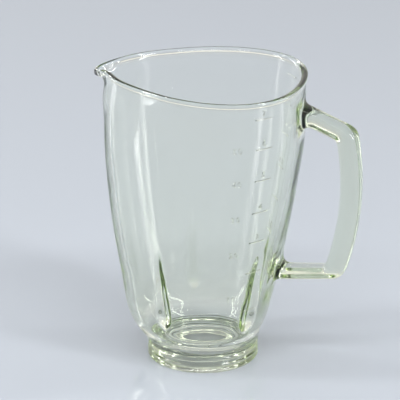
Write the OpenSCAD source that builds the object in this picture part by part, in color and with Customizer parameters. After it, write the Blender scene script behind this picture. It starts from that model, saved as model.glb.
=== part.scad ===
// Pressed glass jar of a food processor: one solid with a ringed neck, a flaring
// body of rounded three-cornered section, a rolled rim with a spout, four stirring
// ribs inside and a solid handle. Millimetres, Z up, the neck stands on Z = 0 round
// the origin, the handle points along +X and the spout along -X.

/* [Neck] */
// Radius over the crests of the rings on the neck
neck_r = 39.4; // [38:0.1:42]
// Depth of the grooves between the rings
ring_depth = 0.6; // [0.3:0.1:1]
// Width of each ring at its crest
ring_w = 0.9; // [0.5:0.1:1.4]
// Height of the middle of the lower ring
ring_low_z = 5.3; // [4.4:0.1:6]
// Height of the middle of the upper ring
ring_high_z = 9.8; // [8.6:0.1:10]
// Height of the foot ring
foot_h = 2.4; // [1.6:0.1:3]
// Radius of the bottom opening
bore_r = 28.5; // [24:0.1:29.5]
// Height of the floor inside
floor_z = 12; // [11.8:0.1:13]

/* [Body] */
// Height of the rim
rim_z = 213; // [205:1:230]
// Mean radius at the top of the heel, 20 mm up
heel_r = 43.4; // [42.5:0.1:44.5]
// Mean radius 30 mm up
shoulder_r = 48.6; // [47:0.1:50]
// Mean radius 50 mm up
low_r = 52.6; // [51:0.1:54]
// Mean radius 90 mm up
middle_r = 59; // [57:0.1:61]
// Mean radius 130 mm up
high_r = 63.7; // [62:0.1:66]
// Mean radius 170 mm up, the widest
widest_r = 66.1; // [64:0.1:68]
// Mean radius of the mouth
mouth_r = 63.1; // [61:0.1:66]
// How far the mouth's middle stands off the neck's axis, towards the handle
mouth_shift = 5.8; // [3:0.1:8]
// How much longer than round the mouth is, at each end
mouth_oval = 6.5; // [4:0.1:8]
// How much the section is drawn to a corner at the spout
corner = 3.6; // [2:0.1:4.5]
// How much the mouth is flattened towards the handle
mouth_flat = 0.9; // [0:0.1:1.5]
// How far the heel leans towards the spout
heel_lean = 1.8; // [0:0.1:3]
// Wall thickness at the rim
wall_top = 3.4; // [3:0.1:5]
// Wall thickness at the heel
wall_low = 7; // [5:0.1:7.5]

/* [Rim and spout] */
// Height of the rolled rim
bead_h = 3.6; // [3:0.1:5]
// How far the rolled rim stands proud of the wall
bead_out = 1.35; // [0.8:0.05:2]
// How far the spout's lip reaches past its throat
spout_reach = 7; // [5:0.1:10]
// Height of the spout's lip under the rim
spout_h = 12; // [8:0.5:14]
// How far the throat under the lip stands out
throat_out = 3.6; // [1:0.1:4.5]
// Half width of the spout, in degrees round the neck's axis
spout_half = 6.5; // [6:0.1:9]
// How far the spout's lip dips below the rim
spout_dip = 3.5; // [0:0.1:4]
// How much deeper than the rolled rim the lip is at its tip
spout_deep = 2; // [0:0.1:2.5]

/* [Handle] */
// Reach of the handle's upper outer corner from the neck's axis
grip_top_x = 110.5; // [106:0.5:116]
// Drop of that corner below the rim
grip_top_drop = 32.4; // [28:0.1:38]
// Reach of the handle's lower outer corner
grip_low_x = 102.4; // [98:0.1:108]
// Height of the handle's lower outer corner
grip_low_z = 69.2; // [64:0.1:76]
// Reach of the point that the grip's outer side bows towards
grip_bow_x = 119.7; // [115:0.1:124]
// Height of that point
grip_bow_z = 123.2; // [116:0.1:130]
// Thickness of the grip
grip_t = 15; // [12:0.1:17]
// Thickness of the upper arm
arm_top_t = 12; // [10:0.1:14]
// Thickness of the lower arm
arm_low_t = 8.8; // [7:0.1:11]
// Width of the handle across
handle_w = 16; // [13:0.1:19]
// Fall of the upper arm, in degrees
arm_top_fall = 22.4; // [16:0.1:26]
// Rise of the lower arm, in degrees
arm_low_rise = 6; // [0:0.1:10]
// How much each root spreads on the finger side
root_inner = 10; // [4:0.1:12]
// How much each root spreads on the outer side
root_outer = 2; // [0.5:0.1:4]
// How much each root spreads to each side
root_side = 3; // [1:0.1:5]

/* [Ribs] */
// Height of the ribs' upper ends
rib_top_z = 96; // [80:1:110]
// Height of the ribs' lower ends
rib_foot_z = 33; // [22:1:40]
// How far a rib stands off the wall near its foot
rib_low_r = 4.5; // [3:0.1:6.5]
// Radius that a rib keeps at its upper end
rib_top_r = 0.8; // [0.5:0.1:1.5]
// Angle of the front ribs from the handle
rib_front = 35; // [28:1:50]
// Angle of the rear ribs from the handle
rib_rear = 115; // [100:1:130]

/* [Hidden] */
around = 64;
crowd = 36;
neck_sides = 96;
bar_sides = 18;
rib_sides = 12;
heel_z = 20;
shoulder_z = 30;
low_z = 50;
middle_z = 90;
high_z = 130;
widest_z = 170;
mouth_z = rim_z - 8;
neck_top_z = floor_z + 2;
lean_z = heel_z + 4;
lean_end_z = low_z + 12;
corner_z = shoulder_z + 10;
flat_z = high_z + 20;
shift_power = 1.8;
corner_power = 0.6;
corner_low = 0.85;
bead_z = rim_z - bead_h;
throat_h = 44;
throat_half = 10;
spout_power = 1.6;
lip_round = 2.4;
lip_crest = 0.3;
floor_r = bore_r + 3.5;
floor_round_z = 26;
skin_in = 1;
seat_depth = 3;
edge = 0.8;
groove_r = neck_r - ring_depth;
root_depth = 2.5;
root_run = 9;
bow_lift = 2;
soft_top_out = 6.5;
soft_low_out = 7.5;
soft_top_in = 3;
soft_low_in = 2.5;
section_power = 0.6;
rib_round_h = 8;
rib_end = 0.1;
taper_power = 0.9;
grip_top_z = rim_z - grip_top_drop;

// Heights and mean radii of the body's sections
section_z = [neck_top_z - 2, heel_z, shoulder_z, low_z, middle_z, high_z, widest_z, mouth_z];
section_r = [groove_r + 0.2, heel_r, shoulder_r, low_r, middle_r, high_r, widest_r, mouth_r];

// Angles round the axis, closer together at the spout
function turn(j) = let (t = 360 * j / around) t + crowd * sin(t);

// Slope of a smooth line through the points at station i
function slope(z, v, i) =
    let (n = len(z) - 1, a = max(i - 1, 0), b = min(i + 1, n))
    (v[b] - v[a]) / (z[b] - z[a]);

// Smooth line through the points, at height h
function smooth_at(z, v, h, i = 0) =
    h > z[i + 1] && i < len(z) - 2 ? smooth_at(z, v, h, i + 1) :
    let (w = z[i + 1] - z[i], t = (h - z[i]) / w)
    (2 * t ^ 3 - 3 * t ^ 2 + 1) * v[i] + (t ^ 3 - 2 * t ^ 2 + t) * w * slope(z, v, i)
    + (3 * t ^ 2 - 2 * t ^ 3) * v[i + 1] + (t ^ 3 - t ^ 2) * w * slope(z, v, i + 1);

// Share from 0 to 1 of the way from height a to height b
function share(h, a, b) = max(0, min(1, (h - a) / (b - a)));

// The body's outer radius at height h and angle a, without rim and spout
function skin(h, a) =
    let (z = min(h, mouth_z),
         up = share(z, neck_top_z, mouth_z),
         lean = share(z, neck_top_z, lean_z) * (1 - share(z, lean_z, lean_end_z)))
    smooth_at(section_z, section_r, z)
    + (mouth_shift * share(z, low_z, mouth_z) ^ shift_power - heel_lean * lean) * cos(a)
    + mouth_oval * up * cos(2 * a)
    - corner * (corner_low + (1 - corner_low) * up)
        * share(z, neck_top_z, corner_z) ^ corner_power * cos(3 * a)
    - mouth_flat * share(z, flat_z, mouth_z) ^ 2 * cos(5 * a);

// How strongly the spout shows at angle a, and at height h
function spout_turn(a, half) = exp(-((a - 180) / half) ^ 2);
function spout_rise(h) = share(h, rim_z - spout_h, bead_z) ^ spout_power;
function spout(h, a) =
    spout_reach * spout_rise(h) * spout_turn(a, spout_half)
    + throat_out * share(h, rim_z - throat_h, rim_z - throat_h / 2) * spout_turn(a, throat_half);

// Wall thickness at height h
function wall(h) = wall_low + (wall_top - wall_low) * share(h, shoulder_z, mouth_z);

// A point of the shell at height h and angle a, off mm outside the skin
function on_skin(h, a, off) =
    let (r = skin(h, a) + spout(h, a) + off,
         dip = spout_dip + spout_deep * (1 - share(h, bead_z, rim_z)))
    [r * cos(a), r * sin(a), h - dip * spout_rise(h) * spout_turn(a, spout_half)];

// A point on a circle round the axis
function on_circle(r, h, a) = [r * cos(a), r * sin(a), h];

// A point of the rounded corner between floor and wall, q degrees up it
function on_floor_round(q, a) =
    let (r = skin(floor_round_z, a) - wall(floor_round_z),
         low = floor_z - skin_in,
         h = floor_round_z - (floor_round_z - low) * (1 - sin(q)))
    on_circle(floor_r + (r - floor_r) * sqrt(1 - (1 - sin(q)) ^ 2), h, a);

// Heights of the shell's rings, the ones under the rim counted down from it
outer_levels = concat([13, 15, 18, 21, 25, 30, 37, 46, 58, 72, 90, 110, 130, 150],
    [for (drop = [45, 30, 19, 12, 7.5]) rim_z - drop]);
inner_levels = concat([for (drop = [7.5, 12, 19, 30, 45]) rim_z - drop],
    [150, 130, 110, 90, 72, 58, 46, 36]);

// One ring of the shell, as a list of points
function ring_outer(h) = [for (j = [0:around - 1]) on_skin(h, turn(j), 0)];
function ring_inner(h) = [for (j = [0:around - 1]) on_skin(h, turn(j), -wall(h))];
function ring_lip(off, h) = [for (j = [0:around - 1]) on_skin(h, turn(j), off)];
function ring_floor(q) = [for (j = [0:around - 1]) on_floor_round(q, turn(j))];
function ring_round(r, h) = [for (j = [0:around - 1]) on_circle(r, h, turn(j))];

// The shell's rings, up the outside, over the rim and down the inside
shell_rings = concat(
    [ring_round(groove_r - 2 * edge, floor_z - seat_depth), ring_round(groove_r - edge, floor_z - skin_in)],
    [for (h = outer_levels) ring_outer(h)],
    [for (q = [-90:30:60]) ring_lip(lip_crest * (1 + sin(q)) / 2 + (bead_out - lip_crest / 2) * cos(q),
        bead_z + bead_h * (1 + sin(q)) / 2)],
    [for (q = [0:22.5:90]) ring_lip(lip_crest - (wall_top + lip_crest) * sin(q),
        rim_z - lip_round * (1 - cos(q)))],
    [for (h = inner_levels) ring_inner(h)],
    [for (q = [90:-18:0]) ring_floor(q)],
    [ring_round(floor_r, floor_z - seat_depth)]
);

// A closed skin over rings of points, joined end to end when the loop is closed
module skin_over(rings, closed) {
    n = len(rings[0]);
    m = len(rings);
    last = closed ? m - 1 : m - 2;
    sides = [for (i = [0:last], j = [0:n - 1])
        let (a = i * n + j, b = i * n + (j + 1) % n,
             c = ((i + 1) % m) * n + (j + 1) % n, d = ((i + 1) % m) * n + j)
        each [[a, c, b], [a, d, c]]];
    ends = closed ? [] : [[for (j = [0:n - 1]) j], [for (j = [n - 1:-1:0]) (m - 1) * n + j]];
    polyhedron(points = [for (r = rings) each r], faces = concat(sides, ends), convexity = 10);
}

// Outline of one ring on the neck, its crest between two slopes
function ring_outline(mid) = [
    [groove_r, mid - ring_w / 2 - ring_depth],
    [neck_r, mid - ring_w / 2],
    [neck_r, mid + ring_w / 2],
    [groove_r, mid + ring_w / 2 + ring_depth]
];

module neck() {
    rotate_extrude($fn = neck_sides)
        polygon(concat(
            [[neck_r - edge, 0], [neck_r, edge],
             [neck_r, foot_h - ring_depth], [groove_r, foot_h]],
            ring_outline(ring_low_z),
            ring_outline(ring_high_z),
            [[groove_r, neck_top_z], [groove_r - seat_depth, neck_top_z],
             [groove_r - seat_depth - skin_in, floor_z],
             [bore_r + edge, floor_z], [bore_r, floor_z - edge], [bore_r, 0]]
        ));
}

// The handle's outer and inner outlines meet each arm's line and the grip's bow
function unit(v) = v / norm(v);
function bend(a, b, c, t) = (1 - t) ^ 2 * a + 2 * t * (1 - t) * b + t ^ 2 * c;
function corner_in(p, along, down, t_arm, t_grip) =
    let (s = abs(along[0] * down[1] - along[1] * down[0]))
    p + along * t_grip / s + down * t_arm / s;

bow = [grip_bow_x, grip_bow_z];
top_out = [grip_top_x, grip_top_z];
low_out = [grip_low_x, grip_low_z];
top_along = [-cos(arm_top_fall), sin(arm_top_fall)];
low_along = [-cos(arm_low_rise), -sin(arm_low_rise)];
top_in = corner_in(top_out, top_along, unit(bow - top_out), arm_top_t, grip_t);
low_in = corner_in(low_out, low_along, unit(bow - low_out), arm_low_t, grip_t);
bow_in = bow + [-grip_t, bow_lift];

// Where a line from p towards the body comes to lie root_depth under the skin
function root_at(p, along, s = 0) =
    let (q = p + along * s)
    q[0] <= skin(q[1], 0) - root_depth || s > 80 ? q : root_at(p, along, s + 0.5);

// One side of the handle: arm, corner, bowed grip, corner, arm
function handle_side(top, mid, low, soft_top, soft_low) =
    let (root_top = root_at(top, top_along),
         root_low = root_at(low, low_along),
         a = top + top_along * soft_top,
         b = top + unit(mid - top) * soft_top,
         c = low + unit(mid - low) * soft_low,
         d = low + low_along * soft_low)
    concat(
        [for (t = [0:0.125:0.875]) root_top + (a - root_top) * t],
        [for (t = [0:0.2:0.8]) bend(a, top, b, t)],
        [for (t = [0:0.125:0.875]) bend(b, mid, c, t)],
        [for (t = [0:0.2:0.8]) bend(c, low, d, t)],
        [for (t = [0:0.125:1]) d + (root_low - d) * t]
    );

side_out = handle_side(top_out, bow, low_out, soft_top_out, soft_low_out);
side_in = handle_side(top_in, bow_in, low_in, soft_top_in, soft_low_in);

// How much a section spreads near a root, from 1 at the root to 0
function spread(i) =
    let (s = min(norm(side_in[i] - side_in[0]), norm(side_in[i] - side_in[len(side_in) - 1])))
    max(0, 1 - s / root_run) ^ 2;

// One section of the handle: a rounded rectangle between the two sides
function handle_section(i) =
    let (across = unit(side_out[i] - side_in[i]),
         high = side_out[i] + across * root_outer * spread(i),
         low = side_in[i] - across * root_inner * spread(i),
         mid = (high + low) / 2,
         tall = (high - low) / 2,
         wide = handle_w / 2 + root_side * spread(i))
    [for (k = [0:bar_sides - 1])
        let (q = -360 * k / bar_sides,
             u = sign(cos(q)) * abs(cos(q)) ^ section_power,
             v = sign(sin(q)) * abs(sin(q)) ^ section_power)
        [mid[0] + tall[0] * u, wide * v, mid[1] + tall[1] * u]];

module handle() {
    skin_over([for (i = [0:len(side_out) - 1]) handle_section(i)], false);
}

// A rib's radius at height h: it thins out up the wall and ends in a round foot
function rib_r(h) =
    let (foot = share(h, rib_foot_z - rib_end, rib_foot_z + rib_round_h))
    (rib_low_r * (1 - share(h, rib_foot_z, rib_top_z)) ^ taper_power + rib_top_r) * sqrt(1 - (1 - foot) ^ 2);

// Distance from the axis of a rib's middle at height h and angle a: on the inner face of the wall
function rib_at(h, a) =
    let (high = skin(max(h, floor_round_z), a) - wall(h),
         rise = share(h, floor_z - skin_in, floor_round_z))
    floor_r + (high - floor_r) * sqrt(1 - (1 - rise) ^ 2);

// A tapered rib up the inside of the wall at angle a from the handle
module rib(a) {
    skin_over([for (t = [0, 0.015, 0.045, 0.09, 0.18, 0.3, 0.45, 0.62, 0.8, 1])
        [for (k = [0:rib_sides - 1])
            let (h = rib_foot_z + t * (rib_top_z - rib_foot_z), r = rib_at(h, a), q = 360 * k / rib_sides)
            [r * cos(a) + rib_r(h) * cos(a + q), r * sin(a) + rib_r(h) * sin(a + q), h]]], false);
}

module glass_jar() {
    color([0.78, 0.9, 0.84, 0.4])
        union() {
            skin_over(shell_rings, true);
            neck();
            handle();
            for (a = [-rib_front, rib_front, -rib_rear, rib_rear])
                rib(a);
        }
}

glass_jar();
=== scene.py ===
import math

import bmesh
import bpy
from mathutils import Matrix, Vector


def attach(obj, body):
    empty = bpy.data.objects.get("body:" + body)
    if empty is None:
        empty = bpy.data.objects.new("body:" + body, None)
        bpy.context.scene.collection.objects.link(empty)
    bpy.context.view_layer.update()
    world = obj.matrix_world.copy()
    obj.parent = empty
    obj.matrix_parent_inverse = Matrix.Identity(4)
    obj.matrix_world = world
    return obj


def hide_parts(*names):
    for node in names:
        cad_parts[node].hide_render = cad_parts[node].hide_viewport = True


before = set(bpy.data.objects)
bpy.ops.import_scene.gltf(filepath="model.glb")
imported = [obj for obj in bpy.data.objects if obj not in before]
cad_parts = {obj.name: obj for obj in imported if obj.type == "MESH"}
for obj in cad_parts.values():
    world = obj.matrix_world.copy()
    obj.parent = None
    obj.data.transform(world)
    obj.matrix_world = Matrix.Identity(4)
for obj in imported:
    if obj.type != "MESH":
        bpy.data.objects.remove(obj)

bl_info = {
    "name": "Food processor jar",
    "version": (1, 0, 0),
    "blender": (4, 5, 0),
    "location": "3D View > Sidebar > Glass Jar",
    "description": "A clear pressed-glass food processor jar with its measuring marks, in a pale studio",
    "category": "Object",
}


def length(name, description, default, **extra):
    """A size property in metres."""
    return bpy.props.FloatProperty(
        name=name, description=description, default=default, unit="LENGTH", precision=4, **extra
    )


def angle(name, description, degrees):
    """An angle property, its default given in degrees."""
    return bpy.props.FloatProperty(
        name=name, description=description, default=math.radians(degrees), subtype="ANGLE"
    )


def colour(name, description, default, size=3):
    """A colour property."""
    return bpy.props.FloatVectorProperty(
        name=name, description=description, default=default, size=size, subtype="COLOR", min=0, max=1
    )


class JarNeck(bpy.types.PropertyGroup):
    """The round neck that stands in the appliance's collar."""

    crest: length("Crest radius", "Radius over the rings on the neck", 0.0394)
    groove: length("Groove radius", "Radius between the rings", 0.0386)
    ring_half: length("Ring half height", "Half the height of a ring at its foot", 0.0012)
    ring_bend: angle("Ring bend", "How far a ring's rounded face turns up and down", 72)
    ring_low: length("Lower ring", "Height of the middle of the lower ring", 0.0053)
    ring_high: length("Upper ring", "Height of the middle of the upper ring", 0.0098)
    foot: length("Foot height", "Height of the foot ring", 0.0024)
    bore: length("Opening radius", "Radius of the bottom opening", 0.0285)
    floor: length("Floor height", "Height of the floor inside", 0.012)


class JarBody(bpy.types.PropertyGroup):
    """The flaring body, as mean radii at heights and the shape of its section."""

    rim: length("Rim height", "Height of the rim", 0.213)
    heel: length("Heel radius", "Mean radius 20 mm up", 0.0434)
    shoulder: length("Shoulder radius", "Mean radius 30 mm up", 0.0486)
    low: length("Low radius", "Mean radius 50 mm up", 0.0526)
    middle: length("Middle radius", "Mean radius 90 mm up", 0.059)
    high: length("High radius", "Mean radius 130 mm up", 0.0637)
    widest: length("Widest radius", "Mean radius 170 mm up", 0.0661)
    mouth: length("Mouth radius", "Mean radius of the mouth", 0.0631)
    shift: length("Mouth shift", "How far the mouth's middle stands towards the handle", 0.0058)
    oval: length("Oval", "How much longer than round the mouth is, at each end", 0.0065)
    corner: length("Corner", "How much the section is drawn to a corner at the spout", 0.0036)
    flat: length("Flat", "How much the mouth is flattened towards the handle", 0.0009)
    lean: length("Heel lean", "How far the heel leans towards the spout", 0.0018)
    wall_top: length("Wall at the rim", "Wall thickness at the rim", 0.0034)
    wall_low: length("Wall at the heel", "Wall thickness at the heel", 0.007)


class JarRim(bpy.types.PropertyGroup):
    """The rolled rim and the pouring spout."""

    bead_height: length("Bead height", "Height of the rolled rim", 0.0036)
    bead_out: length("Bead", "How far the rolled rim stands proud of the wall", 0.00135)
    reach: length("Spout reach", "How far the lip reaches past the throat", 0.007)
    height: length("Spout height", "Height of the lip under the rim", 0.012)
    dip: length("Spout dip", "How far the lip dips below the rim", 0.0035)
    deep: length("Spout depth", "How much deeper than the rolled rim the lip is at its tip", 0.002)
    half: angle("Spout half width", "Half width of the spout round the neck's axis", 6.5)
    throat: length("Throat", "How far the throat under the lip stands out", 0.0036)
    throat_height: length("Throat height", "Height of the throat under the rim", 0.044)
    throat_half: angle("Throat half width", "Half width of the throat round the neck's axis", 10)


class JarHandle(bpy.types.PropertyGroup):
    """The solid bar handle, by the corners of its outer side."""

    top_reach: length("Upper reach", "Reach of the upper outer corner", 0.1105)
    top_drop: length("Upper drop", "Drop of that corner below the rim", 0.0324)
    low_reach: length("Lower reach", "Reach of the lower outer corner", 0.1024)
    low_height: length("Lower height", "Height of the lower outer corner", 0.0692)
    bow_reach: length("Bow reach", "Reach of the point the grip bows towards", 0.1197)
    bow_height: length("Bow height", "Height of that point", 0.1232)
    grip: length("Grip thickness", "Thickness of the grip", 0.015)
    arm_top: length("Upper arm thickness", "Thickness of the upper arm", 0.012)
    arm_low: length("Lower arm thickness", "Thickness of the lower arm", 0.0088)
    width: length("Width", "Width of the handle across", 0.016)
    round: length("Rounding", "Radius of the bar's long edges", 0.0045)
    fall: angle("Upper arm fall", "Fall of the upper arm", 22.4)
    rise: angle("Lower arm rise", "Rise of the lower arm", 6)
    root_inner: length("Root fillet inside", "Fillet of the roots on the finger side", 0.009)
    root_outer: length("Root fillet outside", "Fillet of the roots on the outer side", 0.0025)
    root_side: length("Root fillet beside", "Fillet of the roots to each side", 0.003)


class JarRibs(bpy.types.PropertyGroup):
    """The four stirring ribs inside."""

    top: length("Rib top", "Height of the ribs' upper ends", 0.096)
    foot: length("Rib foot", "Height of the ribs' lower ends", 0.032)
    foot_round: length("Foot rounding", "Height over which a rib's foot rounds off", 0.011)
    stand: length("Stand-off", "How far a rib stands off the wall near its foot", 0.0053)
    front: angle("Front ribs", "Angle of the front ribs from the handle", 35)
    rear: angle("Rear ribs", "Angle of the rear ribs from the handle", 115)


class JarMarks(bpy.types.PropertyGroup):
    """The measuring marks pressed proud of the outside."""

    proud: length("Proud", "How far the marks stand off the wall", 0.0004)
    sunk: length("Sunk", "How far the marks reach into the wall", 0.0003)
    stroke: length("Stroke", "Height of a level line", 0.0008)
    line: length("Line", "Length of a level line", 0.013)
    digit: length("Digit", "Size of the digits", 0.0056)
    lift: length("Lift", "Height of a digit's middle above its line", 0.0042)
    lines_at: angle("Lines", "Angle of the level lines from the handle", 40)
    ounces_at: angle("Ounces", "Angle of the digits that count ounces from the handle", 56)


class JarGlass(bpy.types.PropertyGroup):
    """Colour and clarity of the glass."""

    tint: colour("Tint", "Colour of the glass surface", (0.995, 1.0, 0.995))
    depth_tint: colour("Depth tint", "Colour that thick glass takes", (0.60, 0.70, 0.38))
    density: bpy.props.FloatProperty(
        name="Density", description="How fast thick glass takes its colour, per metre", default=24.0
    )
    bend: bpy.props.FloatProperty(name="Refraction", description="Index of refraction", default=1.52)
    ripple: bpy.props.FloatProperty(
        name="Ripple", description="Strength of the faint ripples that pressing leaves", default=0.06
    )


class StudioLight(bpy.types.PropertyGroup):
    """The floor, the light and the camera."""

    floor_colour: colour("Floor", "Colour of the floor", (0.53, 0.57, 0.63))
    sky: colour("Surround overhead", "Colour of the light from overhead", (0.26, 0.27, 0.29))
    horizon: colour("Surround low", "Colour of the light from round the floor", (1.0, 0.98, 0.93))
    sky_level: bpy.props.FloatProperty(
        name="Surround level", description="Strength of the light from all round", default=0.95
    )
    camera_height: length("Camera height", "Height of the camera above the floor", 1.175)
    camera_far: length("Camera distance", "Level distance of the camera from the jar", 2.6317)
    camera_aside: length("Camera offset", "How far the camera stands to the left", 0.0025)
    camera_turn: angle("Camera turn", "How far the handle is turned towards the camera", 14.5)
    camera_tip: angle("Camera pitch", "How far the camera looks down", 21.9)
    camera_roll: angle("Camera roll", "How far the camera is rolled", 0.2)


GROUPS = {
    "jar_neck": JarNeck,
    "jar_body": JarBody,
    "jar_rim": JarRim,
    "jar_handle": JarHandle,
    "jar_ribs": JarRibs,
    "jar_marks": JarMarks,
    "jar_glass": JarGlass,
    "studio_light": StudioLight,
}

# Mesh density of the glass
AROUND = 144
CROWD = 0.25
PATCH_COLUMNS = 3
PATCH_ROWS = 8
# Heights between which the handle's roots spread on the body
UPPER_ROOT = (0.173, 0.1985)
LOWER_ROOT = (0.0615, 0.0815)
# Heights of the body's radii under the mouth
STATIONS = (0.012, 0.020, 0.030, 0.050, 0.090, 0.130, 0.170)
# How much wider than the neck's grooves the body starts
LOWEST_SWELL = 0.0004
# How far below the rim the rolled part begins
BELOW_RIM = 0.008
# Heights over which the section's changes set in, and the lean goes again
LEAN_SPAN = (0.014, 0.024, 0.062)
SHIFT_FROM = 0.05
CORNER_SPAN = (0.014, 0.04)
FLAT_FROM = 0.15
WALL_THINS_FROM = 0.03
# Share of the corner at the spout that is there from the heel up
CORNER_LOW = 0.85
# Height up to which the corner between floor and wall is rounded
CORNER_TOP = 0.026
# Width of the flat ring of floor round the opening
FLOOR_FLAT = 0.0035
# Rolled rim: how far its top stands out, and how deep its inner side rounds down
RIM_CREST = 0.0003
RIM_ROUND = 0.0024
# A rib's cross-section: its half width at the tip, and how much wider it is for its height
RIB_TIP = 0.001
RIB_SPREAD = 1.3
# Soft edge of the neck and the opening
EDGE = 0.0008
# Heights of the mesh rows that are closer or wider than the evenly spaced ones
LOW_ROWS = (0.0126, 0.014, 0.0155, 0.0172, 0.019, 0.021, 0.0235, 0.0265, 0.03, 0.034, 0.038)
HIGH_ROWS = (0.2005, 0.203, 0.2055, 0.2078)
# Heights between which the rows are evenly spaced, outside and inside
ROWS_FROM = 0.042
INSIDE_TOP = 0.2075
INSIDE_HIGH = 0.180
INSIDE_RIBS = 0.100
INSIDE_LOW = 0.0275
# Heights of the cup lines, a quarter litre apart, and of the digits that count ten ounces each
CUP_LINES = (0.0515, 0.0824, 0.1068, 0.1300, 0.1549, 0.1786, 0.2004)
OUNCE_DIGITS = (0.0632, 0.0988, 0.1267, 0.1540, 0.1789)


def mix(a, b, t):
    return a + (b - a) * t


def share(x, a, b):
    """How far x is on the way from a to b, from 0 to 1."""
    return max(0.0, min(1.0, (x - a) / (b - a)))


def steps(a, b, count, first=0):
    """Evenly spaced values from a to b, with b and, where first is 0, with a."""
    return [mix(a, b, i / count) for i in range(first, count + 1)]


def smooth_at(heights, values, x):
    """Smooth line through the points, at x."""
    last = len(heights) - 1

    def slope(i):
        a, b = max(i - 1, 0), min(i + 1, last)
        return (values[b] - values[a]) / (heights[b] - heights[a])

    i = 0
    while i < last - 1 and x > heights[i + 1]:
        i += 1
    w = heights[i + 1] - heights[i]
    t = (x - heights[i]) / w
    return (
        (2 * t**3 - 3 * t**2 + 1) * values[i]
        + (t**3 - 2 * t**2 + t) * w * slope(i)
        + (3 * t**2 - 2 * t**3) * values[i + 1]
        + (t**3 - t**2) * w * slope(i + 1)
    )


class JarShape:
    """The jar's surfaces as functions of height and of angle from the handle."""

    def __init__(self, scene):
        self.neck = scene.jar_neck
        self.body = scene.jar_body
        self.lip = scene.jar_rim
        self.bar = scene.jar_handle
        self.ribs = scene.jar_ribs
        b, n = self.body, self.neck
        self.mouth_height = b.rim - BELOW_RIM
        self.heights = (*STATIONS, self.mouth_height)
        start = n.groove + LOWEST_SWELL
        self.radii = (start, b.heel, b.shoulder, b.low, b.middle, b.high, b.widest, b.mouth)
        self.turns = [self.turn(i) for i in range(AROUND)]

    def turn(self, i):
        """Angle of column i, closer together at the spout."""
        t = 2 * math.pi * i / AROUND
        return t + CROWD * math.sin(t)

    def skin(self, z, a):
        """Outer radius of the body, without rim and spout."""
        b = self.body
        z = min(z, self.mouth_height)
        foot, full, gone = LEAN_SPAN
        up = share(z, foot, self.mouth_height)
        lean = share(z, foot, full) * (1 - share(z, full, gone))
        corner = mix(CORNER_LOW, 1.0, up) * share(z, *CORNER_SPAN) ** 0.6
        r = smooth_at(self.heights, self.radii, z)
        r += (b.shift * share(z, SHIFT_FROM, self.mouth_height) ** 1.8 - b.lean * lean) * math.cos(a)
        r += b.oval * up * math.cos(2 * a)
        r -= b.corner * corner * math.cos(3 * a)
        r -= b.flat * share(z, FLAT_FROM, self.mouth_height) ** 2 * math.cos(5 * a)
        return r

    def spout_turn(self, a, half):
        """Share of the spout at an angle, 1 in its middle."""
        return math.exp(-(((a - math.pi) / half) ** 2))

    def spout_rise(self, z):
        """Share of the lip's reach at a height, 1 from the rolled rim up."""
        return share(z, self.body.rim - self.lip.height, self.body.rim - self.lip.bead_height) ** 1.6

    def spout(self, z, a):
        """How far the spout stands out of the body."""
        p = self.lip
        rim = self.body.rim
        throat = share(z, rim - p.throat_height, rim - p.throat_height / 2)
        throat = throat * throat * (3 - 2 * throat)
        return p.reach * self.spout_rise(z) * self.spout_turn(a, p.half) + (
            p.throat * throat * self.spout_turn(a, p.throat_half)
        )

    def wall(self, z):
        """Thickness of the wall at a height."""
        b = self.body
        return mix(b.wall_low, b.wall_top, share(z, WALL_THINS_FROM, self.mouth_height))

    def rib(self, z, a):
        """How far a rib stands into the jar."""
        r = self.ribs
        foot = share(z, r.foot, r.foot + r.foot_round)
        height = r.stand * (1 - share(z, r.foot, r.top)) ** 0.9 * foot * (2 - foot)
        half = RIB_TIP + RIB_SPREAD * height
        across = min(
            abs(math.remainder(a - at, 2 * math.pi)) for at in (-r.front, r.front, -r.rear, r.rear)
        ) * self.skin(z, a)
        return height * max(0.0, 1 - (across / half) ** 2)

    def at(self, z, a, off):
        """A point off metres outside the skin."""
        r = self.skin(z, a) + self.spout(z, a) + off
        rim = self.body.rim
        dip = self.lip.dip + self.lip.deep * (1 - share(z, rim - self.lip.bead_height, rim))
        dip *= self.spout_rise(z) * self.spout_turn(a, self.lip.half)
        return Vector((r * math.cos(a), r * math.sin(a), z - dip))

    def outer(self, z, off=0.0):
        """A ring of the outside, off metres from the skin."""
        return [self.at(z, a, off) for a in self.turns]

    def inner(self, z):
        """A ring of the inside, ribs and all."""
        return [self.at(z, a, -self.wall(z) - self.rib(z, a)) for a in self.turns]

    def floor_corner(self, up):
        """A ring of the rounded corner between floor and wall, up it by an angle."""
        low, high = self.neck.floor, CORNER_TOP
        z = low + (high - low) * (1 - math.cos(up))
        r_floor = self.neck.bore + FLOOR_FLAT
        ring = []
        for a in self.turns:
            r_wall = self.skin(high, a) - self.wall(high)
            r = r_floor + (r_wall - r_floor) * math.sin(up) - self.rib(z, a)
            ring.append(Vector((r * math.cos(a), r * math.sin(a), z)))
        return ring

    def round_ring(self, r, z):
        """A level circle of the neck."""
        return [Vector((r * math.cos(a), r * math.sin(a), z)) for a in self.turns]


def grow(bm, loop, points):
    """Extrudes a closed loop of vertices once and puts the new ones on the points."""
    made = bmesh.ops.extrude_edge_only(bm, edges=loop_edges(bm, loop))["geom"]
    fresh = {v for v in made if isinstance(v, bmesh.types.BMVert)}
    new = [next(e.other_vert(v) for e in v.link_edges if e.other_vert(v) in fresh) for v in loop]
    for v, p in zip(new, points):
        v.co = p
    return new


def loop_edges(bm, loop):
    """The edges of a closed loop of vertices."""
    return [bm.edges.get((a, b)) for a, b in zip(loop, loop[1:] + loop[:1])]


def start_ring(bm, points):
    """A circle of vertices moved onto the points."""
    made = bmesh.ops.create_circle(bm, cap_ends=False, segments=len(points), radius=1.0)["verts"]
    made.sort(key=lambda v: math.atan2(v.co.y, v.co.x) % (2 * math.pi))
    for v, p in zip(made, points):
        v.co = p
    return made


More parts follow.
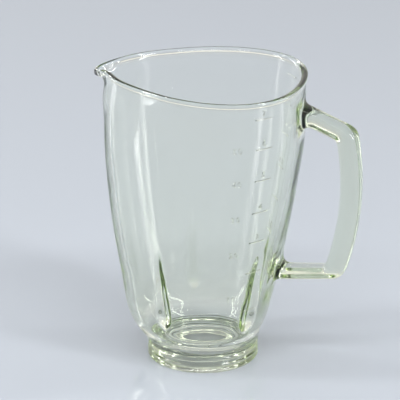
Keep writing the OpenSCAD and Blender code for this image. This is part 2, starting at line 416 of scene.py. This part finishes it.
def patch_loop(rows, upside_down):
    """The vertices round a handle root's patch, in order, each with its place in the bar's section.

    The place is (across, out), each from -1 to 1, where out is 1 on the bar's outer side."""
    columns = range(-PATCH_COLUMNS, PATCH_COLUMNS + 1)
    around = [(c, 0) for c in columns]
    around += [(PATCH_COLUMNS, r) for r in range(1, PATCH_ROWS + 1)]
    around += [(c, PATCH_ROWS) for c in reversed(columns)][1:]
    around += [(-PATCH_COLUMNS, r) for r in range(PATCH_ROWS - 1, 0, -1)]
    loop, places = [], []
    for c, r in around:
        row = PATCH_ROWS - r if upside_down else r
        loop.append(rows[row][c % AROUND])
        places.append((c / PATCH_COLUMNS, 2 * r / PATCH_ROWS - 1))
    return loop, places


def patch_faces(rows):
    """The faces of the skin that a handle root takes the place of."""
    columns = range(-PATCH_COLUMNS, PATCH_COLUMNS + 1)
    inside = {row[c % AROUND] for row in rows for c in columns}
    return [f for f in {f for v in inside for f in v.link_faces} if all(v in inside for v in f.verts)]


def bend(a, b, c, t):
    """A point of the curve from a to c that is drawn towards b."""
    return a * (1 - t) ** 2 + b * 2 * t * (1 - t) + c * t**2


class Bar:
    """The handle's two sides, as lists of points in the plane of reach and height."""

    # How far a side's upper and lower corner is cut back for its bend
    SOFT_OUT = (0.0065, 0.0075)
    SOFT_IN = (0.003, 0.0025)
    # Gap from the skin to the first section, and the step by which it is found
    CLEAR = 0.0008
    SEARCH = 0.0001
    BOW_RISE = 0.002
    # Places along an arm, closer together at its root
    ARM_PLACES = (0.0, 0.06, 0.13, 0.21, 0.3, 0.42, 0.56, 0.7, 0.85)
    CORNER_POINTS = 6
    GRIP_POINTS = 18

    def __init__(self, shape):
        h = shape.bar
        self.shape = shape
        self.h = h
        top = Vector((h.top_reach, shape.body.rim - h.top_drop))
        low = Vector((h.low_reach, h.low_height))
        bow = Vector((h.bow_reach, h.bow_height))
        self.along_top = Vector((-math.cos(h.fall), math.sin(h.fall)))
        self.along_low = Vector((-math.cos(h.rise), -math.sin(h.rise)))
        top_in = self.corner_in(top, self.along_top, (bow - top).normalized(), h.arm_top)
        low_in = self.corner_in(low, self.along_low, (bow - low).normalized(), h.arm_low)
        bow_in = bow - Vector((h.grip, -self.BOW_RISE))
        self.outside = self.side(top, bow, low, self.SOFT_OUT)
        self.inside = self.side(top_in, bow_in, low_in, self.SOFT_IN)

    def corner_in(self, corner, along, down, arm):
        """The inner corner that lies a grip's and an arm's thickness inside an outer one."""
        s = abs(along.x * down.y - along.y * down.x)
        return corner + along * (self.h.grip / s) + down * (arm / s)

    def root(self, p, along):
        """Where a line from p towards the body comes close to the skin."""
        q = p.copy()
        while q.x > self.shape.skin(q.y, 0.0) + self.CLEAR:
            q += along * self.SEARCH
        return q

    def side(self, top, bow, low, soft):
        """One side of the bar, from the upper root round both corners to the lower root."""
        a, b = top + self.along_top * soft[0], top + (bow - top).normalized() * soft[0]
        c, d = low + (bow - low).normalized() * soft[1], low + self.along_low * soft[1]
        arm_top = [self.root(top, self.along_top), a]
        arm_low = [d, self.root(low, self.along_low)]
        corner, grip = self.CORNER_POINTS, self.GRIP_POINTS
        points = [mix(*arm_top, t) for t in self.ARM_PLACES]
        points += [bend(a, top, b, t / corner) for t in range(corner)]
        points += [bend(b, bow, c, t / grip) for t in range(grip)]
        points += [bend(c, low, d, t / corner) for t in range(corner)]
        points += [mix(*arm_low, 1 - t) for t in [1.0, *reversed(self.ARM_PLACES)]]
        return points

    def fillet(self, i, side, radius):
        """How far a root's fillet stands out at point i of a side."""
        s = min((side[i] - side[0]).length, (side[i] - side[-1]).length) + self.CLEAR
        if s >= radius:
            return 0.0
        return radius - math.sqrt(radius**2 - (radius - s) ** 2)

    def section(self, i, places):
        """The points of the bar's section i, for places from -1 to 1 in it."""
        h = self.h
        across = (self.outside[i] - self.inside[i]).normalized()
        high = self.outside[i] + across * self.fillet(i, self.outside, h.root_outer)
        low = self.inside[i] - across * self.fillet(i, self.inside, h.root_inner)
        middle, tall = (high + low) / 2, (high - low).length / 2
        wide = h.width / 2 + self.fillet(i, self.outside, h.root_side)
        ring = []
        for u, v in places:
            x, y = rounded(u * wide, v * tall, wide, tall, min(h.round, tall * 0.8))
            p = middle + across * y
            ring.append(Vector((p.x, x, p.y)))
        return ring


def rounded(x, y, half_x, half_y, radius):
    """Moves a point on a rectangle's border onto its rounded corner, if it is at one."""
    cx, cy = half_x - radius, half_y - radius
    if abs(x) <= cx or abs(y) <= cy:
        return x, y
    corner = Vector((math.copysign(cx, x), math.copysign(cy, y)))
    p = corner + (Vector((x, y)) - corner).normalized() * radius
    return p.x, p.y


def new_object(name, bm, material):
    """Makes an object of a bmesh, with smooth faces and one material."""
    for f in bm.faces:
        f.smooth = True
    mesh = bpy.data.meshes.new(name)
    bm.to_mesh(mesh)
    bm.free()
    piece = bpy.data.objects.new(name, mesh)
    bpy.context.scene.collection.objects.link(piece)
    mesh.materials.append(material)
    return piece


def pressed_glass(scene):
    """Clear pressed glass: sharp, faintly rippled, green where it is thick."""
    if "pressed_glass" in bpy.data.materials:
        return bpy.data.materials["pressed_glass"]
    g = scene.jar_glass
    material = bpy.data.materials.new("pressed_glass")
    material.use_nodes = True
    tree = material.node_tree
    nodes, links = tree.nodes, tree.links
    shader = nodes["Principled BSDF"]
    shader.inputs["Base Color"].default_value = (*g.tint, 1.0)
    shader.inputs["Roughness"].default_value = 0.0
    shader.inputs["IOR"].default_value = g.bend
    shader.inputs["Transmission Weight"].default_value = 1.0
    place = nodes.new("ShaderNodeTexCoord")
    stretch = nodes.new("ShaderNodeMapping")
    stretch.inputs["Scale"].default_value = (1.0, 1.0, 0.45)
    noise = nodes.new("ShaderNodeTexNoise")
    noise.inputs["Scale"].default_value = 38.0
    noise.inputs["Detail"].default_value = 1.0
    bump = nodes.new("ShaderNodeBump")
    bump.inputs["Strength"].default_value = g.ripple
    bump.inputs["Distance"].default_value = 0.004
    links.new(place.outputs["Object"], stretch.inputs["Vector"])
    links.new(stretch.outputs["Vector"], noise.inputs["Vector"])
    links.new(noise.outputs["Fac"], bump.inputs["Height"])
    links.new(bump.outputs["Normal"], shader.inputs["Normal"])
    depth = nodes.new("ShaderNodeVolumeAbsorption")
    depth.inputs["Color"].default_value = (*g.depth_tint, 1.0)
    depth.inputs["Density"].default_value = g.density
    links.new(depth.outputs["Volume"], nodes["Material Output"].inputs["Volume"])
    return material


class JAR_OT_glass(bpy.types.Operator):
    """Make the glass: neck, body, ribs, rim, spout and handle in one closed skin"""

    bl_idname = "jar.glass"
    bl_label = "Glass jar"

    def execute(self, context):
        scene = context.scene
        shape = JarShape(scene)
        bm = bmesh.new()
        rings = self.neck_outline(shape.neck)
        loop = start_ring(bm, shape.round_ring(*rings[0]))
        first = loop
        for r, z in rings[1:]:
            loop = grow(bm, loop, shape.round_ring(r, z))
        rows = {}
        lower = steps(*LOWER_ROOT, PATCH_ROWS)
        upper = steps(*UPPER_ROOT, PATCH_ROWS)
        heights = [
            *LOW_ROWS, *steps(ROWS_FROM, LOWER_ROOT[0], 6)[:-1], *lower,
            *steps(LOWER_ROOT[1], UPPER_ROOT[0], 20, 1)[:-1], *upper, *HIGH_ROWS,
        ]
        for z in heights:
            loop = grow(bm, loop, shape.outer(z))
            rows[z] = loop
        for off, z in self.rim_outline(shape.body, shape.lip):
            loop = grow(bm, loop, shape.outer(z, off))
        inside = steps(INSIDE_TOP, INSIDE_HIGH, 8) + steps(INSIDE_HIGH, INSIDE_RIBS, 14, 1)
        for z in inside + steps(INSIDE_RIBS, INSIDE_LOW, 23, 1):
            loop = grow(bm, loop, shape.inner(z))
        for q in range(80, -1, -10):
            loop = grow(bm, loop, shape.floor_corner(math.radians(q)))
        for r, z in self.opening_outline(shape.neck):
            loop = grow(bm, loop, shape.round_ring(r, z))
        bmesh.ops.bridge_loops(bm, edges=loop_edges(bm, loop) + loop_edges(bm, first))
        self.add_handle(bm, shape, [rows[z] for z in upper], [rows[z] for z in lower])
        bmesh.ops.recalc_face_normals(bm, faces=bm.faces)
        piece = new_object("glass_body", bm, pressed_glass(scene))
        soft = piece.modifiers.new("Smooth", "SUBSURF")
        soft.levels = soft.render_levels = 1
        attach(piece, "root")
        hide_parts("glass_jar")
        return {"FINISHED"}

    def neck_outline(self, n):
        """Radii and heights up the neck's outside, from the opening's edge under the foot."""
        outline = [
            (n.bore, EDGE), (n.bore + EDGE, 0.00015), (n.bore + 0.003, 0.0), (n.crest - 0.003, 0.0),
            (n.crest - EDGE, 0.0), (n.crest - EDGE * 0.3, EDGE * 0.3), (n.crest, EDGE),
            (n.crest, n.foot - EDGE), (n.crest - EDGE * 0.2, n.foot - EDGE * 0.4), (n.groove, n.foot),
        ]
        for middle in (n.ring_low, n.ring_high):
            outline.append((n.groove, middle - n.ring_half - EDGE / 2))
            for q in steps(-n.ring_bend, n.ring_bend, 4):
                out = (math.cos(q) - math.cos(n.ring_bend)) / (1 - math.cos(n.ring_bend))
                up = n.ring_half * math.sin(q) / math.sin(n.ring_bend)
                outline.append((mix(n.groove, n.crest, out), middle + up))
            outline.append((n.groove, middle + n.ring_half + EDGE / 2))
        return outline

    def rim_outline(self, b, p):
        """Offsets from the skin and heights over the rolled rim, from outside to inside."""
        outline = []
        for q in map(math.radians, range(-75, 90, 15)):
            off = RIM_CREST * (1 + math.sin(q)) / 2 + (p.bead_out - RIM_CREST / 2) * math.cos(q)
            outline.append((off, b.rim - p.bead_height * (1 - math.sin(q)) / 2))
        for q in map(math.radians, range(0, 91, 15)):
            off = RIM_CREST - (b.wall_top + RIM_CREST) * math.sin(q)
            outline.append((off, b.rim - RIM_ROUND * (1 - math.cos(q))))
        return outline

    def opening_outline(self, n):
        """Radii and heights from the floor down the bottom opening."""
        return (
            (n.bore + 0.0014, n.floor), (n.bore + 0.0004, n.floor - 0.0003), (n.bore, n.floor - EDGE),
            (n.bore, n.floor * 0.66), (n.bore, n.floor * 0.33),
        )

    def add_handle(self, bm, shape, upper, lower):
        """Opens the skin at both roots and draws the bar from one to the other."""
        start, places = patch_loop(upper, False)
        end, _ = patch_loop(lower, True)
        bmesh.ops.delete(bm, geom=patch_faces(upper) + patch_faces(lower), context="FACES")
        bar = Bar(shape)
        loop = start
        for i in range(len(bar.outside)):
            loop = grow(bm, loop, bar.section(i, places))
        bmesh.ops.bridge_loops(bm, edges=loop_edges(bm, loop) + loop_edges(bm, end))


class JAR_OT_marks(bpy.types.Operator):
    """Make the measuring marks: level lines and digits on both sides of the handle"""

    bl_idname = "jar.marks"
    bl_label = "Measuring marks"

    # Cuts across a line, and the soft edge of a digit's strokes
    LINE_CUTS = 9
    SOFT = 0.00012

    def execute(self, context):
        self.shape = JarShape(context.scene)
        self.m = context.scene.jar_marks
        self.bm = bmesh.new()
        m = self.m
        for cups, z in enumerate(CUP_LINES, start=1):
            for side in (-1, 1):
                self.line(z, side * m.lines_at)
            self.digits(str(cups), z + m.lift, -m.lines_at)
            if cups % 2 == 0:
                self.digits(str(cups / 4), z + m.lift, m.lines_at)
        for tens, z in enumerate(OUNCE_DIGITS, start=1):
            self.digits(str(10 * tens), z, -m.ounces_at)
        piece = new_object("measuring_marks", self.bm, pressed_glass(context.scene))
        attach(piece, "root")
        return {"FINISHED"}

    def add(self, mark, z, a):
        """Lays a flat mark, x along and y up, on the skin round height z and angle a."""
        r = self.shape.skin(z, a)
        for v in mark.verts:
            v.co = self.shape.at(z + v.co.y, a + v.co.x / r, v.co.z)
        mesh = bpy.data.meshes.new("mark")
        mark.to_mesh(mesh)
        mark.free()
        self.bm.from_mesh(mesh)
        bpy.data.meshes.remove(mesh)

    def line(self, z, a):
        """A level line: a bar with a rounded face, cut so that it can follow the wall."""
        m = self.m
        place = Matrix.Translation((0, 0, (m.proud - m.sunk) / 2))
        size = Matrix.Diagonal((m.line, m.stroke, m.proud + m.sunk, 1))
        mark = bmesh.new()
        bmesh.ops.create_cube(mark, size=1.0, matrix=place @ size)
        face = [e for e in mark.edges if min(v.co.z for v in e.verts) > 0]
        bmesh.ops.bevel(
            mark, geom=face, affect="EDGES", offset=m.stroke * 0.3, segments=3, profile=0.5, material=-1
        )
        for x in steps(-m.line / 2, m.line / 2, self.LINE_CUTS, 1)[:-1]:
            parts = mark.verts[:] + mark.edges[:] + mark.faces[:]
            bmesh.ops.bisect_plane(mark, geom=parts, plane_co=(x, 0, 0), plane_no=(1, 0, 0))
        self.add(mark, z, a)

    def digits(self, text, z, a):
        """A number, made from letters and laid on the wall as a line is."""
        m = self.m
        curve = bpy.data.curves.new("digits", "FONT")
        curve.body = text
        curve.size = m.digit
        curve.align_x, curve.align_y = "CENTER", "CENTER"
        curve.space_character = 1.3
        curve.extrude = (m.proud + m.sunk) / 2 - self.SOFT
        curve.bevel_depth = self.SOFT
        curve.bevel_resolution = 1
        flat = bpy.data.objects.new("digits", curve)
        bpy.context.scene.collection.objects.link(flat)
        solid = bpy.data.meshes.new_from_object(flat.evaluated_get(bpy.context.evaluated_depsgraph_get()))
        mark = bmesh.new()
        mark.from_mesh(solid)
        bmesh.ops.remove_doubles(mark, verts=mark.verts, dist=1e-6)
        bmesh.ops.recalc_face_normals(mark, faces=mark.faces)
        bmesh.ops.translate(mark, verts=mark.verts, vec=(0, 0, (m.proud - m.sunk) / 2))
        bpy.data.objects.remove(flat)
        bpy.data.curves.remove(curve)
        bpy.data.meshes.remove(solid)
        self.add(mark, z, a)


class JAR_OT_studio(bpy.types.Operator):
    """Make the floor, the light and the camera"""

    bl_idname = "jar.studio"
    bl_label = "Studio"

    FLOOR_HALF = 8.0
    FLOOR_ROUGHNESS = 0.08
    AIM = (0.0, 0.0, 0.1)
    BOUNCES = 128
    ALL_BOUNCES = 160

    def execute(self, context):
        scene = context.scene
        s = scene.studio_light
        bm = bmesh.new()
        bmesh.ops.create_grid(bm, x_segments=1, y_segments=1, size=self.FLOOR_HALF)
        floor = new_object("studio_floor", bm, self.floor_finish(s))
        self.surround(scene, s)
        self.lamp("left_strip", (-1.39, -0.57, 0.9), (0.14, 1.6), 12.0)
        self.lamp("right_strip", (1.22, -0.5, 0.8), (0.14, 1.6), 12.0)
        self.lamp("left_back_strip", (-1.72, 0.71, 0.9), (0.12, 1.6), 8.0)
        self.lamp("right_back_strip", (1.77, 0.73, 0.9), (0.12, 1.6), 8.0)
        self.lamp("overhead", (0.0, 0.3, 2.4), (2.4, 2.4), 6.0)
        self.lamp("front_top", (0.3, -1.1, 2.0), (1.8, 0.16), 16.0)
        self.lamp("front_fill", (-0.6, -3.2, 3.0), (4.0, 1.6), 8.0)
        self.camera(scene, s)
        scene.view_settings.view_transform = "Standard"
        scene.cycles.transmission_bounces = self.BOUNCES
        scene.cycles.glossy_bounces = self.BOUNCES
        scene.cycles.max_bounces = self.ALL_BOUNCES
        scene.cycles.use_denoising = True
        return {"FINISHED"}

    def floor_finish(self, s):
        """A pale, smooth floor."""
        material = bpy.data.materials.new("pale_floor")
        material.use_nodes = True
        shader = material.node_tree.nodes["Principled BSDF"]
        shader.inputs["Base Color"].default_value = (*s.floor_colour, 1.0)
        shader.inputs["Roughness"].default_value = self.FLOOR_ROUGHNESS
        return material

    def surround(self, scene, s):
        """A studio room that is bright round the horizon and darker overhead."""
        world = bpy.data.worlds.new("surround")
        world.use_nodes = True
        nodes, links = world.node_tree.nodes, world.node_tree.links
        place = nodes.new("ShaderNodeTexCoord")
        split = nodes.new("ShaderNodeSeparateXYZ")
        ramp = nodes.new("ShaderNodeValToRGB")
        low, high = ramp.color_ramp.elements
        low.position, low.color = 0.12, (*s.horizon, 1.0)
        high.position, high.color = 0.7, (*s.sky, 1.0)
        sky = nodes["Background"]
        sky.inputs["Strength"].default_value = s.sky_level
        links.new(place.outputs["Generated"], split.inputs["Vector"])
        links.new(split.outputs["Z"], ramp.inputs["Fac"])
        links.new(ramp.outputs["Color"], sky.inputs["Color"])
        scene.world = world

    def lamp(self, name, place, size, power):
        """A rectangular softbox that faces the jar, its power in watts."""
        data = bpy.data.lights.new(name, "AREA")
        data.shape = "RECTANGLE"
        data.size, data.size_y = size
        data.energy = power
        lamp = bpy.data.objects.new(name, data)
        lamp.location = place
        lamp.rotation_euler = (Vector(self.AIM) - Vector(place)).to_track_quat("-Z", "Y").to_euler()
        bpy.context.scene.collection.objects.link(lamp)

    def camera(self, scene, s):
        """The photograph's view: a long lens, on the neck's foot."""
        data = bpy.data.cameras.new("camera")
        data.sensor_width = 36.0
        data.lens = 360.0
        data.clip_end = 50.0
        camera = bpy.data.objects.new("camera", data)
        turn = Matrix.Rotation(s.camera_turn, 4, "Z")
        tilt = Matrix.Rotation(math.pi / 2 - s.camera_tip, 4, "X")
        roll = Matrix.Rotation(s.camera_roll, 4, "Z")
        place = Matrix.Translation((-s.camera_aside, -s.camera_far, s.camera_height))
        camera.matrix_world = turn @ place @ tilt @ roll
        scene.collection.objects.link(camera)
        scene.camera = camera


class JAR_PT_panel(bpy.types.Panel):
    """Sizes, finish and stage of the jar"""

    bl_label = "Glass Jar"
    bl_space_type = "VIEW_3D"
    bl_region_type = "UI"
    bl_category = "Glass Jar"

    def draw(self, context):
        layout = self.layout
        for operator in OPERATORS:
            layout.operator(operator.bl_idname)
        for name, group in GROUPS.items():
            box = layout.box()
            box.label(text=group.__doc__)
            for prop in group.__annotations__:
                box.prop(getattr(context.scene, name), prop)


OPERATORS = (JAR_OT_studio, JAR_OT_glass, JAR_OT_marks)


def register():
    for cls in (*GROUPS.values(), *OPERATORS, JAR_PT_panel):
        bpy.utils.register_class(cls)
    for name, group in GROUPS.items():
        setattr(bpy.types.Scene, name, bpy.props.PointerProperty(type=group))


def unregister():
    for name in GROUPS:
        delattr(bpy.types.Scene, name)
    for cls in reversed((*GROUPS.values(), *OPERATORS, JAR_PT_panel)):
        bpy.utils.unregister_class(cls)


def main():
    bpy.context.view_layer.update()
    register()
    for step in (bpy.ops.jar.studio, bpy.ops.jar.glass, bpy.ops.jar.marks):
        step()


if __name__ == "__main__":
    main()
